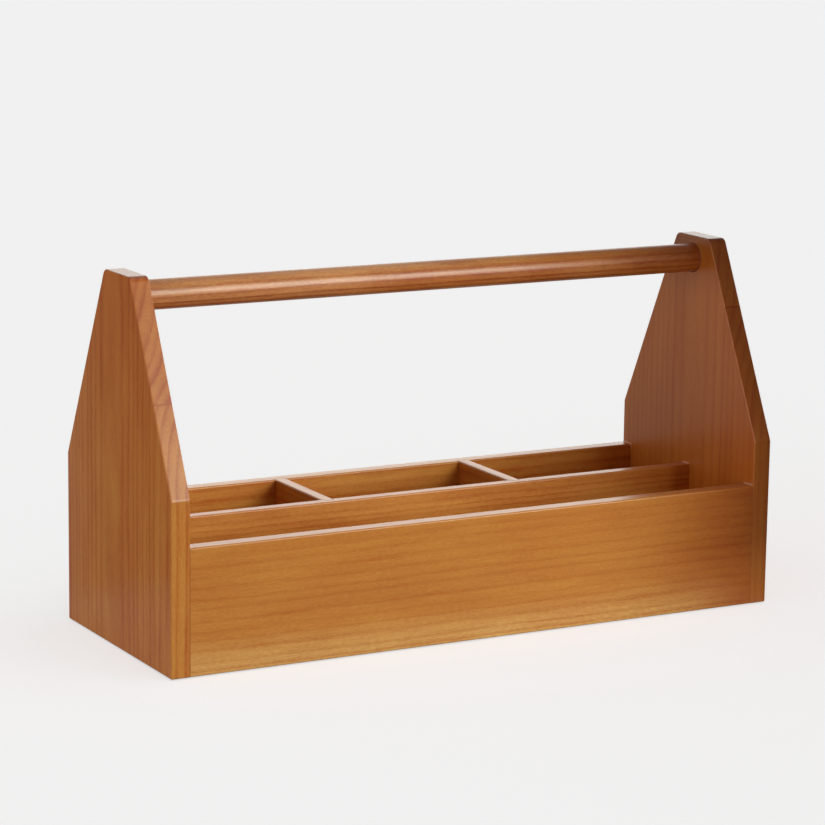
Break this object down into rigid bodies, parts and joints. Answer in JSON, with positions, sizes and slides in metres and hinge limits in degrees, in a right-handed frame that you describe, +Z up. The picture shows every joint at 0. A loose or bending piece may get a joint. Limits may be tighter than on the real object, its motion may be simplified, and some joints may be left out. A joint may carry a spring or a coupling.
{
  "type": "utensil caddy",
  "caption": "Open wooden carry caddy with shaped ends, a round handle, a long front compartment and a divided row of bays behind it.",
  "frame": {"origin": "centre of the caddy's outline on the surface it stands on", "axes": "+X along the handle towards the right end, -Y towards the side with the undivided compartment, +Z up"},
  "size_m": [0.41, 0.152, 0.224],
  "materials": {
    "stained_wood": "satin",
    "bare_wood": "matte"
  },
  "bodies": {
    "root": {"left_end_panel": "stained_wood", "right_end_panel": "stained_wood", "front_panel": "stained_wood", "back_panel": "stained_wood", "base_panel": "stained_wood", "long_divider": "stained_wood", "cross_divider_left": "stained_wood", "cross_divider_right": "stained_wood", "handle_dowel": "stained_wood", "joint_pins": "bare_wood"}
  },
  "joints": []
}
